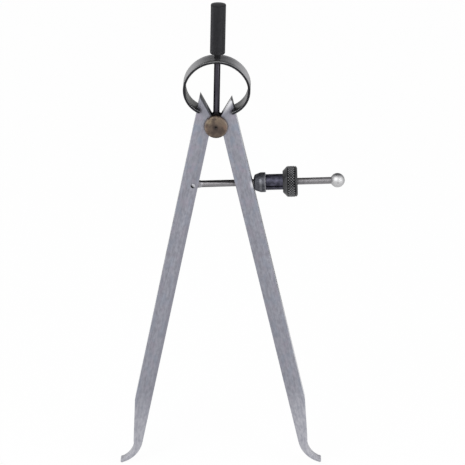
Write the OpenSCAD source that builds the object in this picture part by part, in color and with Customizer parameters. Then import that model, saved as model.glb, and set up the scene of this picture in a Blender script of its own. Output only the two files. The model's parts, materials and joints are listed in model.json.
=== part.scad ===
// Inside spring caliper: two flat legs on a fulcrum stud, a bow spring over them,
// a knurled handle on a stem, and a screw with a quick-release nut that sets the opening.
// Millimetres. +Z is up along the handle, +X to the nut's side, -Y is the front.
// The origin is at the middle of the handle's grip.

/* [Legs] */
// Distance down a leg from the stud's centre to the toe's lowest point
leg_reach = 152.9; // [110:0.1:220]
// Width of a leg across its flat face
leg_width = 6.7; // [6:0.1:9]
// Thickness of a leg
leg_thick = 4.2; // [4.2:0.1:6]
// Distance from the stud's centre to a leg's inner edge
leg_inner = 1.95; // [1.8:0.05:2.4]
// Angle of each leg from the middle line
leg_angle = 12.27; // [11.5:0.01:14]
// Lean of the pair of legs from the handle's line
legs_lean = 1.8; // [0:0.1:2.5]
// Swing of each leg either way from this opening
leg_swing = 11.5; // [4:0.1:11.5]
// Height of the left horn's tip above the stud's centre, along the leg
left_horn_rise = 11.5; // [9.5:0.1:12]
// Angle of the left horn's inner edge from the leg
left_horn_slope = 39.5; // [38.5:0.5:50]
// Height of the right horn's tip above the stud's centre, along the leg
right_horn_rise = 10; // [9.5:0.1:12]
// Angle of the right horn's inner edge from the leg
right_horn_slope = 43; // [41:0.5:50]

/* [Toes] */
// How far a toe stands out from the leg's inner edge
toe_out = 6.65; // [5:0.05:8]
// Radius of the underside of a toe
toe_under_r = 12.2; // [11:0.1:16]
// Radius of the upper side of a toe
toe_top_r = 8.5; // [7.5:0.1:10]
// Width of a leg where its toe begins
toe_root = 3.2; // [2.8:0.05:3.6]
// Drop of the toe's upper curve below the start of its lower curve
toe_drop = 2.9; // [2:0.1:3.4]
// Length over which the outer edge tapers above the toe
toe_taper = 18.5; // [10:0.5:40]

/* [Fulcrum stud] */
// Diameter of the stud's heads
head_d = 9.25; // [9:0.05:11]
// Thickness of each head
head_thick = 1.2; // [0.8:0.1:2]
// Diameter of the barrel between the heads
barrel_d = 8; // [7.6:0.1:8.4]
// Radius of the turning centre in each head
dimple_r = 0.55; // [0.3:0.05:0.9]

/* [Bow spring] */
// Outer width of the loop
bow_wide = 26.3; // [25:0.1:30]
// Outer height of the whole oval
bow_high = 24; // [22.5:0.1:24.5]
// Radius of the loop's two sides
bow_side_r = 10.4; // [9.5:0.1:10.8]
// Height of the oval's centre above the stud
bow_rise = 15.7; // [15.4:0.1:17]
// Width of the strip, front to back
bow_strip = 8.9; // [7.5:0.1:12]
// Thickness of the strip
bow_thick = 0.95; // [0.6:0.05:1.3]
// How far a prong reaches past the leg's outer edge
prong_reach = 1.15; // [0.9:0.05:1.6]
// Depth of the notch in a leg that the bow sits in
notch_depth = 0.6; // [0.4:0.05:0.8]

/* [Stem and handle] */
// Diameter of the stem
stem_d = 2.5; // [2.1:0.1:2.5]
// Diameter of the turned-down ends of the stem
tenon_d = 1.8; // [1.2:0.1:1.9]
// Length of the stem's end inside the stud
foot_tenon = 2.6; // [1.5:0.1:3]
// Length of the stem's end inside the handle
top_tenon = 8; // [4:0.5:14]
// Diameter of the lock collar on the stem's foot
lock_d = 4.2; // [3:0.1:4.4]
// Height of the lock collar
lock_high = 1.85; // [1.2:0.05:2.2]
// Diameter of the knurled grip
grip_d = 5.9; // [4.5:0.05:8]
// Length of the knurled grip
grip_len = 19.7; // [14:0.1:30]
// Height of the neck under the grip
neck_high = 2.3; // [1.5:0.1:5]

/* [Screw] */
// Diameter of the adjusting screw
screw_d = 2.75; // [2:0.05:2.8]
// Rise of the screw towards the nut, as an angle from the line square to the pair of legs
screw_tilt = 1.45; // [0:0.05:2]
// Distance of the screw's pin down the leg from the stud
pin_down = 26.36; // [22:0.01:34]
// Distance of the screw's pin out from the leg's inner edge
pin_out = 1.9; // [1.9:0.01:2.6]
// Diameter of the screw's pin
pin_d = 1.9; // [1.4:0.1:2.2]
// Length of the screw from its pin to the ball's centre
screw_len = 57; // [54:0.1:70]
// Diameter of the ball
ball_d = 5.7; // [4.5:0.1:8]
// Thickness of the screw's flat eye
eye_thick = 1.5; // [1:0.1:1.8]
// Radius of the screw's flat eye
eye_r = 2.1; // [1.9:0.1:2.4]

/* [Nut] */
// Radius of the thrust cup's domed end
dome_r = 8; // [6:0.1:10]
// Diameter of the cup's domed end
dome_d = 6.2; // [5.6:0.1:6.8]
// Diameter of the cup's flange
cup_d = 7.9; // [7.4:0.1:9]
// Length of the cup's cone
cup_cone = 2.3; // [1.6:0.1:3]
// Thickness of the cup's flange
cup_flange = 2; // [1.9:0.1:3]
// Angle of the cup's recess that closes the jaws
cone_angle = 30; // [28:1:34]
// Diameter of the jaws' barrel
jaw_d = 6.3; // [6:0.05:6.5]
// Length of the jaws' barrel that shows
jaw_len = 6.75; // [5:0.05:12]
// Gap between the jaws
slit = 0.5; // [0.3:0.05:0.8]
// Turn of the slit below the level line
slit_turn = 13; // [0:1:30]
// How far the jaws run back along the cone when released
release = 0.8; // [0.4:0.05:1]
// Diameter of the knurled collar
collar_d = 12.2; // [11.8:0.1:16]
// Length of the collar's conical side
collar_cone = 1.8; // [1.2:0.1:3]
// Length of the collar's knurled rim
collar_rim = 4; // [4:0.1:7]
// Radius of the collar's rounded outer edge
collar_round = 0.8; // [0.4:0.05:0.9]
// Thickness of the collar's closing ring
ring_thick = 0.8; // [0.5:0.05:1]

/* [Hidden] */
$fn = 96;

// Running fits and seats
run_gap = 0.05;
side_gap = 0.06;
seat_gap = 0.08;
snug = 0.02;
fork_gap = 0.12;
pass_gap = 0.2;
past = 1;
swing_spare = 0.5;

// Leg outline: v is outwards from the stud, u is down the leg
leg_outer = leg_inner + leg_width;
toe_start = leg_reach - sqrt(pow(toe_under_r, 2) - pow(toe_under_r - toe_out, 2));
toe_under = [leg_inner + toe_under_r, toe_start];
toe_top = [leg_inner + toe_root + toe_top_r, toe_start + toe_drop];
toe_tip = leg_inner + toe_out;
function arc_v(c, r, u) = c[0] - sqrt(pow(r, 2) - pow(u - c[1], 2));
function arc_u(c, r, v) = c[1] + sqrt(pow(r, 2) - pow(v - c[0], 2));
taper_end = arc_v(toe_top, toe_top_r, toe_start);
tip_low = arc_u(toe_under, toe_under_r, toe_tip);
tip_high = arc_u(toe_top, toe_top_r, toe_tip);
tip_r = (tip_low - tip_high) / 2 + snug;

// Stud
leg_half = leg_thick / 2;
barrel_r = barrel_d / 2;
barrel_half = leg_half + side_gap;
head_chamfer = head_thick / 4;
spot_depth = 0.35;
spot_face = barrel_r - spot_depth;

// Bow oval, from four arcs
bow_a = bow_wide / 2;
bow_b = bow_high / 2;
side_out = bow_a - bow_side_r;
bow_top_r = (pow(side_out, 2) + pow(bow_b, 2) - pow(bow_side_r, 2)) / (2 * (bow_b - bow_side_r));
arc_drop = bow_top_r - bow_b;
join_x = side_out * bow_top_r / (bow_top_r - bow_side_r);
bow_top = bow_rise + bow_b;

// Stem and handle
stem_r = stem_d / 2;
tenon_r = tenon_d / 2;
shank_start = spot_face + lock_high;
shank_end = bow_top - bow_thick - seat_gap;
grip_foot = bow_top + neck_high;
grip_mid = grip_foot + grip_len / 2;
grip_bevel = 0.45;
grip_rim = 0.2;
lock_flat = stem_r + run_gap;
lock_bevel = lock_high / 8;

// Stem relief in the legs
relief_half = lock_flat + pass_gap - run_gap;
relief_r = norm([lock_d / 2, shank_start]) + pass_gap;
relief_turn = leg_swing + legs_lean + swing_spare;

// Screw
pin_v = leg_inner + pin_out;
pin_r = pin_d / 2;
function pin_half(angle) = pin_down * sin(angle) + pin_v * cos(angle);
pin_x = pin_half(leg_angle);
pin_z = pin_v * sin(leg_angle) - pin_down * cos(leg_angle);
screw_r = screw_d / 2;
angle_low = leg_angle - leg_swing - swing_spare;
angle_high = leg_angle + leg_swing + swing_spare;
passage_half = screw_r + pass_gap;
passage_tall = passage_half + (pin_half(angle_high) - pin_half(angle_low)) * sin(screw_tilt);
passage_u = pin_down - 2 * pin_x * sin(screw_tilt) / cos(leg_angle);
function passage_edge(v, angle, side) =
    side * passage_tall / cos(angle - screw_tilt) - (v - pin_v) * tan(angle - screw_tilt) - passage_u;
eye_turn = angle_high + screw_tilt;
eye_neck = (pin_out + screw_r * sin(eye_turn) + pass_gap) / cos(eye_turn);
eye_room = max(eye_r, pin_out * tan(eye_turn) + screw_r / cos(eye_turn)) + pass_gap;
ball_r = ball_d / 2;
ball_flat = sqrt(pow(ball_r, 2) - pow(screw_r, 2));
ball_step = 0.35;
ball_tenon = screw_r - ball_step;
ball_depth = ball_flat + ball_r / 3;

// Nut, measured along the screw from the middle line
cup_reach = leg_outer + dome_r + pin_x * cos(leg_angle) - pin_z * sin(leg_angle);
cup_centre = cup_reach / cos(leg_angle - screw_tilt) - pin_x + seat_gap;
dome_rim = cup_centre - sqrt(pow(dome_r, 2) - pow(dome_d / 2, 2));
cup_flange_x = dome_rim + cup_cone;
cup_end = cup_flange_x + cup_flange;
jaw_r = jaw_d / 2;
bore_r = screw_r + run_gap + snug;
nose_wall = 0.6;
nose_r = bore_r + nose_wall;
recess_depth = (jaw_r - nose_r) / tan(cone_angle);
jaw_start = cup_end - recess_depth + seat_gap;
nose_gap = seat_gap * tan(cone_angle) / 2;
collar_start = cup_end + jaw_len;
rim_start = collar_start + collar_cone;
collar_end = rim_start + collar_rim;
jaw_back = release * cos(cone_angle);
jaw_lift = release * sin(cone_angle);
mouth_r = jaw_r + jaw_lift + pass_gap / 2;
tail_step = 1.1;
tail_r = jaw_r + tail_step;
cavity_r = tail_r + jaw_lift + pass_gap / 2;
cavity_start = rim_start - pass_gap / 2;
tail_start = cavity_start + pass_gap;
ring_inset = 0.4;
ring_start = collar_end - ring_thick - ring_inset;
tail_end = ring_start - jaw_back - pass_gap;
ring_step = 0.25;
ring_r = cavity_r + ring_step;
key_half = 0.55;
key_step = 0.3;
key_r = jaw_r + key_step;
spring_wire = 0.6;
spring_r = bore_r + pass_gap + spring_wire;
groove_r = spring_r + spring_wire / 2 + pass_gap / 2;
groove_wall = 0.35;
groove_end = tail_end - groove_wall;
spring_x = groove_end - spring_wire / 2 - pass_gap / 2;
groove_start = spring_x - spring_wire / 2 - pass_gap / 2 - jaw_back;
spring_open = 50;

// Frames: the stud's centre, then the leaning pair of legs, then one leg, then the screw's line
module at_stud() translate([0, 0, -grip_mid]) children();
module in_pair() rotate([0, -legs_lean, 0]) children();
module on_right() rotate([0, -leg_angle, 0]) children();
module on_left() mirror([1, 0, 0]) rotate([0, -leg_angle, 0]) children();
module on_screw() translate([-pin_x, 0, pin_z]) rotate([0, -screw_tilt, 0]) translate([pin_x, 0, 0]) children();
module in_nut() at_stud() in_pair() on_screw() rotate([slit_turn, 0, 0]) children();

// A flat shape drawn in X and Z, standing in the plane of the legs
module upright(thick) rotate([90, 0, 0]) linear_extrude(thick, center = true) children();

// A shape turned about the screw's line, drawn with X along the line and Y as the radius
module turned_on_x() rotate([0, 90, 0]) rotate_extrude() rotate([0, 0, 90]) mirror([0, 1, 0]) children();

// A shape turned about the stud's line, drawn with X as the radius and Y towards the front
module turned_on_y() rotate([90, 0, 0]) rotate_extrude() children();

// A leg with its horn's rise and slope, and with its two curves cut at the toe
module leg_outline(rise, slope) difference() {
    deep = leg_reach + 2 * past;
    horn_foot = rise - leg_width / tan(slope);
    polygon([
        [leg_inner, -leg_reach - past], [leg_inner, horn_foot], [leg_outer, rise],
        [leg_outer, toe_taper - toe_start], [taper_end, -toe_start],
        [toe_tip, -toe_top[1]], [toe_tip, -leg_reach - past]
    ]);
    difference() {
        translate([0, -deep]) square([2 * toe_tip, deep - toe_start]);
        translate([toe_under[0], -toe_under[1]]) circle(toe_under_r);
    }
    translate([toe_top[0], -toe_top[1]]) circle(toe_top_r);
}

// What both legs share: the outline, the round tip, the seat on the stud and the room for the stem
module leg_blank(rise, slope) difference() {
    union() {
        upright(leg_thick) leg_outline(rise, slope);
        translate([toe_tip, 0, -(tip_low + tip_high) / 2]) rotate([90, 0, 0])
            cylinder(r = tip_r, h = leg_thick, center = true);
    }
    rotate([90, 0, 0]) cylinder(r = barrel_r + run_gap, h = leg_thick + 2 * past, center = true);
    rotate([0, leg_angle, 0]) {
        upright(2 * relief_half) intersection() {
            circle(relief_r);
            polygon([
                [-past, 0], [0, 0], [2 * relief_r, relief_r],
                [2 * relief_r, 2 * relief_r], [-past, 2 * relief_r]
            ]);
        }
        rotate([0, relief_turn, 0]) translate([-stem_r - pass_gap, -relief_half, 0])
            cube([2 * (stem_r + pass_gap), 2 * relief_half, 2 * rise]);
    }
}

// The four-arc oval, grown by a margin
module oval(grow) {
    translate([0, bow_rise]) {
        intersection() {
            translate([0, -arc_drop]) circle(bow_top_r + grow);
            translate([0, arc_drop]) circle(bow_top_r + grow);
            square([2 * join_x, 2 * bow_high], center = true);
        }
        for (side = [-1, 1])
            translate([side * side_out, 0]) circle(bow_side_r + grow);
    }
}

module bow_band(margin) difference() {
    oval(margin);
    oval(-bow_thick - margin);
}

// The space between two lines that run beside the legs, as far out as reach
module between_legs(reach) {
    low = -barrel_r;
    high = bow_rise - bow_thick;
    half_low = (reach - low * sin(leg_angle)) / cos(leg_angle);
    half_high = (reach - high * sin(leg_angle)) / cos(leg_angle);
    polygon([[-half_low, low], [half_low, low], [half_high, high], [-half_high, high]]);
}

// The two notches that the bow's ends sit in, one on each leg
module bow_notch() upright(leg_thick + 2 * past) difference() {
    bow_band(fork_gap);
    rotate(legs_lean) between_legs(leg_outer - notch_depth);
    translate([-bow_wide, bow_rise]) square(2 * bow_wide);
}

// Slot for the screw's eye, open to the leg's inner edge
module eye_slot() {
    slot = eye_thick + pass_gap;
    translate([pin_v, 0, -pin_down]) {
        rotate([90, 0, 0]) cylinder(r = eye_room, h = slot, center = true);
        translate([-pin_v, -slot / 2, -eye_room]) cube([pin_v, slot, 2 * eye_room]);
    }
}

// Passage for the screw, wide enough for the whole swing about the point opposite its pin
module screw_passage() {
    outside = leg_outer + past;
    upright(2 * passage_half) polygon([
        [0, passage_edge(0, angle_high, 1)], [pin_v, passage_edge(pin_v, angle_high, 1)],
        [outside, passage_edge(outside, angle_low, 1)], [outside, passage_edge(outside, angle_high, -1)],
        [pin_v, passage_edge(pin_v, angle_high, -1)], [0, passage_edge(0, angle_low, -1)]
    ]);
}

module left_leg() color("#96979f") at_stud() difference() {
    in_pair() on_left() difference() {
        leg_blank(left_horn_rise, left_horn_slope);
        eye_slot();
        translate([pin_v, 0, -pin_down]) rotate([90, 0, 0])
            cylinder(r = pin_r + snug, h = leg_thick + 2 * past, center = true);
    }
    bow_notch();
}

module right_leg() color("#92929b") at_stud() difference() {
    in_pair() on_right() difference() {
        leg_blank(right_horn_rise, right_horn_slope);
        screw_passage();
    }
    bow_notch();
}

module fulcrum_stud() color("#615349") at_stud() difference() {
    head_r = head_d / 2;
    head_end = barrel_half + head_thick;
    turned_on_y() polygon([
        [0, dimple_r - head_end], [dimple_r, -head_end], [head_r - head_chamfer, -head_end],
        [head_r, head_chamfer - head_end], [head_r, -barrel_half], [barrel_r, -barrel_half],
        [barrel_r, barrel_half], [head_r, barrel_half], [head_r, head_end - head_chamfer],
        [head_r - head_chamfer, head_end], [dimple_r, head_end], [0, head_end - dimple_r]
    ]);
    translate([-barrel_r, -barrel_half, spot_face]) cube([barrel_d, 2 * barrel_half, barrel_r]);
    translate([0, 0, spot_face - foot_tenon - seat_gap]) cylinder(r = tenon_r + snug, h = barrel_d);
}

module bow_spring() color("#6f7073") at_stud() difference() {
    upright(bow_strip) difference() {
        bow_band(0);
        rotate(legs_lean) between_legs(leg_outer - prong_reach);
    }
    upright(leg_thick + 2 * fork_gap)
        rotate(legs_lean) between_legs(leg_outer - notch_depth + seat_gap);
    translate([0, 0, bow_rise]) cylinder(r = tenon_r + run_gap, h = bow_high);
}

module stem() color("#38363c") at_stud() rotate_extrude() polygon([
    [0, spot_face - foot_tenon], [tenon_r, spot_face - foot_tenon], [tenon_r, shank_start + snug],
    [stem_r, shank_start + snug], [stem_r, shank_end], [tenon_r, shank_end],
    [tenon_r, bow_top + top_tenon], [0, bow_top + top_tenon]
]);

module stem_lock_collar() color("#1c1b1d") at_stud() translate([0, 0, spot_face]) intersection() {
    rotate_extrude() difference() {
        square([lock_d / 2, lock_high]);
        square([2 * (tenon_r + snug), 4 * lock_high], center = true);
        translate([lock_d / 2 + lock_bevel, lock_high + lock_bevel]) circle(lock_d / 2 - stem_r + lock_bevel);
    }
    translate([-lock_d / 2, -lock_flat, 0]) cube([lock_d, 2 * lock_flat, lock_high]);
}

module handle() color("#2b2b2d") at_stud() difference() {
    rotate_extrude() polygon([
        [0, bow_top], [stem_r, bow_top], [stem_r, grip_foot - 2 * grip_bevel],
        [grip_d / 2 - 2 * grip_bevel, grip_foot - grip_bevel], [grip_d / 2, grip_foot],
        [grip_d / 2, grip_foot + grip_len - grip_rim],
        [grip_d / 2 - grip_rim, grip_foot + grip_len], [0, grip_foot + grip_len]
    ]);
    translate([0, 0, bow_top - past]) cylinder(r = tenon_r + snug, h = top_tenon + past + seat_gap);
}

module adjusting_screw() color("#89888b") at_stud() in_pair() on_screw() translate([-pin_x, 0, 0]) {
    difference() {
        union() {
            rotate([90, 0, 0]) cylinder(r = eye_r, h = eye_thick, center = true);
            translate([0, -eye_thick / 2, -screw_r]) cube([eye_neck + screw_r, eye_thick, screw_d]);
        }
        rotate([90, 0, 0]) cylinder(r = pin_r + run_gap, h = screw_d, center = true);
    }
    translate([eye_neck, 0, 0]) rotate([0, 90, 0]) {
        cylinder(r = screw_r, h = screw_len - ball_flat - eye_neck);
        cylinder(r = ball_tenon, h = screw_len - ball_flat + ball_depth - eye_neck);
    }
}

module screw_pin() color("#8d8e95") at_stud() in_pair() on_screw() translate([-pin_x, 0, 0])
    rotate([90, 0, 0]) cylinder(r = pin_r, h = leg_thick, center = true);

module at_ball() at_stud() in_pair() on_screw() translate([screw_len - pin_x, 0, 0]) children();

module end_ball() color("#cccccd") at_ball() difference() {
    sphere(ball_r);
    translate([-ball_d - ball_flat + snug, -ball_r, -ball_r]) cube(ball_d);
    translate([-ball_d, 0, 0]) rotate([0, 90, 0])
        cylinder(r = ball_tenon + snug, h = ball_d - ball_flat + ball_depth + seat_gap);
}

module thrust_cup() color("#4f5055") at_stud() in_pair() on_screw() turned_on_x() difference() {
    polygon([
        [cup_centre - dome_r, 0], [cup_centre - dome_r, dome_d / 2], [dome_rim, dome_d / 2],
        [cup_flange_x, cup_d / 2], [cup_end, cup_d / 2], [cup_end, 0]
    ]);
    difference() {
        translate([0, -past]) square([dome_rim, past + dome_d]);
        translate([cup_centre, 0]) circle(dome_r);
    }
    translate([0, -past]) square([2 * cup_end, past + bore_r + pass_gap / 2]);
    polygon([
        [cup_end - recess_depth, 0], [cup_end - recess_depth, nose_r], [cup_end, jaw_r],
        [cup_end + past, jaw_r], [cup_end + past, 0]
    ]);
}

// Both jaws as one turned blank, before the slit
module jaw_blank() difference() {
    turned_on_x() difference() {
        polygon([
            [jaw_start, 0], [jaw_start, nose_r - nose_gap],
            [cup_end + seat_gap, jaw_r - nose_gap], [cup_end + seat_gap, jaw_r],
            [tail_start, jaw_r], [tail_start, tail_r], [tail_end, tail_r], [tail_end, 0]
        ]);
        translate([0, -past]) square([2 * collar_end, past + bore_r]);
        translate([groove_start, 0]) square([groove_end - groove_start, groove_r]);
    }
    for (side = [-1, 1])
        translate([tail_start - past, side * (key_r - pass_gap + tail_r) - tail_r, -key_half - pass_gap])
            cube([tail_end, 2 * tail_r, 2 * (key_half + pass_gap)]);
}

module jaw(side) in_nut() intersection() {
    jaw_blank();
    translate([0, -tail_r, side > 0 ? slit / 2 : -slit / 2 - tail_r])
        cube([2 * collar_end, 2 * tail_r, tail_r]);
}

module upper_jaw() color("#44444d") jaw(1);
module lower_jaw() color("#44444d") jaw(-1);

module thumb_collar() color("#343436") in_nut() {
    turned_on_x() difference() {
        polygon([
            [collar_start, 0], [collar_start, mouth_r + (collar_d / 2 - mouth_r) / 4],
            [rim_start, collar_d / 2], [collar_end, collar_d / 2], [collar_end, 0]
        ]);
        translate([collar_end - collar_round, collar_d / 2 - collar_round]) difference() {
            square(2 * collar_round);
            circle(collar_round);
        }
        translate([0, -past]) square([2 * collar_end, past + mouth_r]);
        translate([cavity_start, 0]) square([collar_end, cavity_r]);
        translate([ring_start, 0]) square([collar_end, ring_r + snug]);
    }
    for (side = [-1, 1]) intersection() {
        translate([cavity_start - snug, side * (key_r + ring_r) - ring_r, -key_half])
            cube([ring_start - cavity_start, 2 * ring_r, 2 * key_half]);
        rotate([0, 90, 0]) cylinder(r = cavity_r + ring_thick / 4, h = 2 * collar_end);
    }
}

module jaw_spring() color("#77787c") in_nut() translate([spring_x, 0, 0]) rotate([0, 90, 0])
    rotate([0, 0, spring_open / 2]) rotate_extrude(angle = 360 - spring_open)
        translate([spring_r, 0]) circle(spring_wire / 2, $fn = 24);

module collar_ring() color("#3a3a3d") in_nut() turned_on_x() difference() {
    translate([ring_start, 0]) square([ring_thick, ring_r]);
    translate([0, -past]) square([2 * collar_end, past + bore_r + pass_gap]);
}

left_leg();
right_leg();
fulcrum_stud();
bow_spring();
stem();
stem_lock_collar();
handle();
adjusting_screw();
screw_pin();
end_ball();
thrust_cup();
upper_jaw();
lower_jaw();
thumb_collar();
jaw_spring();
collar_ring();
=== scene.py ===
import json
import math

import bpy
from mathutils import Matrix, Quaternion, Vector


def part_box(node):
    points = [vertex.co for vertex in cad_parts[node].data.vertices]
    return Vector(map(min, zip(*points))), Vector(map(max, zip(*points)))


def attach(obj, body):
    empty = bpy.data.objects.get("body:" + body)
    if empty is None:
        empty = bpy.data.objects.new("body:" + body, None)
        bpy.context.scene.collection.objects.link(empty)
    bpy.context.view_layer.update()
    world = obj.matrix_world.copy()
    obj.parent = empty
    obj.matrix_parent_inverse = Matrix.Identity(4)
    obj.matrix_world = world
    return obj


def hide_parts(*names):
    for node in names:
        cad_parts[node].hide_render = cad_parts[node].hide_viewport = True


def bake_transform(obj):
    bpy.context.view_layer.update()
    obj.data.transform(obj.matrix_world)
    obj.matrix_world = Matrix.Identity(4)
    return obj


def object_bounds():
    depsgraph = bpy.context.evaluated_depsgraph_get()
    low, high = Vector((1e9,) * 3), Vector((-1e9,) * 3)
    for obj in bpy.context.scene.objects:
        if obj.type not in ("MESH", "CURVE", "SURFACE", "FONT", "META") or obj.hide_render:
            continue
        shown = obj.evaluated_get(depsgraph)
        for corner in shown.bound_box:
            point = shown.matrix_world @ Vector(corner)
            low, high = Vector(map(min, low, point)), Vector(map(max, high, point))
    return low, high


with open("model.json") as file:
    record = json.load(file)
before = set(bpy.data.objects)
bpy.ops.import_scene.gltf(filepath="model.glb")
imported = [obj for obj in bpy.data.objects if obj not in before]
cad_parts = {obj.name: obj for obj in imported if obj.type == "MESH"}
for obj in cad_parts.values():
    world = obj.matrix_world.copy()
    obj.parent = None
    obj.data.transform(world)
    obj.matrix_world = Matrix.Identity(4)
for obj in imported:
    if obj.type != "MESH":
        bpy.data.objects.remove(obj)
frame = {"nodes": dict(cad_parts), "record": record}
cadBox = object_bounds()
record = frame["record"]
joints = {joint["name"]: joint for joint in record["behaviour"]["joints"]}
bodyOf = {node: body for body, members in record["behaviour"]["bodies"].items() for node in members}
studPoint = Vector(joints["left_leg_swing"]["pos_m"])
pinPoint = Vector(joints["screw_pivot"]["pos_m"])
screwLine = Vector(joints["nut_spin"]["axis"]).normalized()
frontToBack = Vector((0, 1, 0))
upAxis = Vector((0, 0, 1))
print("frame loaded, with", len(frame["nodes"]), "nodes")


# camera, fitted to the photograph: it looks at the stud, rolls, then turns until the stud is at its pixel
cameraFit = {
    "photoSize": 465,
    "focalPixels": 2690,
    "distance": 1.055,
    "azimuth": 0.9,
    "elevation": 20.5,
    "roll": 1.12,
    "studPixel": (216.12, 124.87),
}


def addCamera(fit):
    azimuth, elevation = math.radians(fit["azimuth"]), math.radians(fit["elevation"])
    away = Vector((
        math.sin(azimuth) * math.cos(elevation),
        -math.cos(azimuth) * math.cos(elevation),
        math.sin(elevation),
    ))
    middle = fit["photoSize"] / 2
    right = (fit["studPixel"][0] - middle) / fit["focalPixels"]
    down = (fit["studPixel"][1] - middle) / fit["focalPixels"]
    ahead = Vector((0, 0, -1))
    turn = ahead.rotation_difference(Vector((right, -down, -1)))
    look = (-away).to_track_quat("-Z", "Y")
    roll = Quaternion((0, 0, 1), math.radians(fit["roll"]))
    bpy.ops.object.camera_add(location=studPoint + away * fit["distance"])
    camera = bpy.context.object
    camera.name = "photoCamera"
    camera.rotation_mode = "QUATERNION"
    camera.rotation_quaternion = look @ roll @ turn.inverted()
    camera.data.sensor_width = 36
    camera.data.lens = camera.data.sensor_width * fit["focalPixels"] / fit["photoSize"]
    camera.data.clip_start = 0.01
    bpy.context.scene.camera = camera


addCamera(cameraFit)
print("camera placed")


# shader maths: a wire is a socket that takes the usual operators
class Wire:
    def __init__(self, finish, socket):
        self.finish = finish
        self.socket = socket

    def __add__(self, other):
        return self.finish.maths("ADD", self, other)

    def __sub__(self, other):
        return self.finish.maths("SUBTRACT", self, other)

    def __rsub__(self, other):
        return self.finish.maths("SUBTRACT", other, self)

    def __mul__(self, other):
        return self.finish.maths("MULTIPLY", self, other)

    def __abs__(self):
        return self.finish.maths("ABSOLUTE", self)

    __radd__ = __add__


# one material's nodes, with its shader
class Finish:
    def __init__(self, name, tree=None):
        if tree is None:
            self.material = bpy.data.materials.new(name)
            self.material.use_nodes = True
            tree = self.material.node_tree
        self.tree = tree
        self.shader = tree.nodes.get("Principled BSDF")

    def node(self, kind, settings=None, sockets=None, out=0):
        made = self.tree.nodes.new(kind)
        for key, value in (settings or {}).items():
            setattr(made, key, value)
        for key, value in (sockets or {}).items():
            self.plug(value, self.find(made.inputs, key))
        return Wire(self, self.find(made.outputs, out))

    def find(self, sockets, key):
        shown = [socket for socket in sockets if socket.enabled]
        return shown[key] if isinstance(key, int) else next(s for s in shown if s.name == key)

    def plug(self, value, socket):
        if isinstance(value, Wire):
            self.tree.links.new(value.socket, socket)
        else:
            socket.default_value = value

    def maths(self, operation, *values):
        return self.node("ShaderNodeMath", {"operation": operation}, dict(enumerate(values)))

    def vectorMaths(self, operation, *vectors):
        return self.node("ShaderNodeVectorMath", {"operation": operation}, dict(enumerate(vectors)))

    def highest(self, first, *others):
        for other in others:
            first = self.maths("MAXIMUM", first, other)
        return first

    def ease(self, value, low, high):
        return self.node(
            "ShaderNodeMapRange",
            {"interpolation_type": "SMOOTHSTEP"},
            {"Value": value, "From Min": low, "From Max": high},
        )

    def fade(self, value, low, high):
        return 1 - self.ease(value, low, high)

    # 1 on the ridges of a knurl or thread, 0 at their roots
    def ridges(self, away, radius, depth, top):
        return self.ease(away, radius - depth, radius - depth * top)

    # a mask that clouds thin out by a share
    def patchy(self, mask, clouds, share):
        return mask * (1 - share + clouds * share)

    def mix(self, factor, first, second):
        return self.node("ShaderNodeMix", {"data_type": "RGBA"}, {"Factor": factor, "A": first, "B": second})

    # lays a tint, which is a colour and its share, over another colour
    def lay(self, under, mask, tint):
        colour, share = tint
        return self.mix(mask * share, under, colour)

    def offset(self, centre=(0, 0, 0)):
        return self.vectorMaths("SUBTRACT", self.node("ShaderNodeTexCoord", out="Object"), centre)

    def normal(self):
        return self.node("ShaderNodeNewGeometry", out="Normal")

    def dot(self, vector, direction):
        return self.vectorMaths("DOT_PRODUCT", vector, direction)

    def fromLine(self, vector, direction):
        return self.vectorMaths("LENGTH", self.vectorMaths("CROSS_PRODUCT", vector, direction))

    def parts(self, vector):
        split = self.node("ShaderNodeSeparateXYZ", None, {"Vector": vector}).socket.node
        return [Wire(self, socket) for socket in split.outputs]

    def vector(self, x, y, z):
        return self.node("ShaderNodeCombineXYZ", None, {"X": x, "Y": y, "Z": z})

    # noise at one scale, or over three coordinates with a scale for each
    def noise(self, spot, scale, detail=2, rough=0.5, shift=0):
        if isinstance(scale, tuple):
            x, y, z = (place * size for place, size in zip(spot, scale))
            spot, scale = self.vector(x, y, z + shift), 1
        return self.node(
            "ShaderNodeTexNoise", None,
            {"Vector": spot, "Scale": scale, "Detail": detail, "Roughness": rough},
        )

    def clouds(self, spot, low, high, **grain):
        return self.ease(self.noise(spot, **grain), low, high)

    def bump(self, height, strength, distance):
        sockets = {"Height": height, "Strength": strength, "Distance": distance}
        return self.node("ShaderNodeBump", None, sockets)

    def set(self, **sockets):
        for key, value in sockets.items():
            self.plug(value, self.shader.inputs[key.replace("_", " ")])
        return self.material

    # sets the shader as a plan says: the pattern varies the gloss, and the relief is raised
    def surface(self, plan, colour, pattern, relief, metallic=1.0):
        return self.set(
            Base_Color=colour,
            Roughness=plan["rough"] + pattern * plan["roughSpread"],
            Metallic=metallic,
            Normal=self.bump(relief, *plan["bump"]),
        )


# a colour written in the photograph's own values, 0 to 255
def paint(red, green, blue):
    def straight(value):
        share = value / 255
        return share / 12.92 if share <= 0.04045 else ((share + 0.055) / 1.055) ** 2.4
    return (straight(red), straight(green), straight(blue), 1)


# limits that are written as shares of a size
def sharesOf(size, limits):
    return [size * share for share in limits]


# bench tools: angles in radians, tolerances in metres
bench = {
    "sharpAngle": math.radians(30),
    "smoothAngle": math.radians(28),
    "flatAngle": math.radians(1),
    "merge": 1e-6,
    "samePlane": 1e-7,
    "cut": 1e-8,
    "digits": 8,
}


def deselect():
    bpy.ops.object.select_all(action="DESELECT")


def takeUp(piece):
    deselect()
    piece.select_set(True)
    bpy.context.view_layer.objects.active = piece


def named(name):
    piece = bpy.context.object
    piece.name = piece.data.name = name
    return piece


def applyPlace():
    bpy.ops.object.transform_apply(location=True, rotation=True, scale=True)


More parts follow.
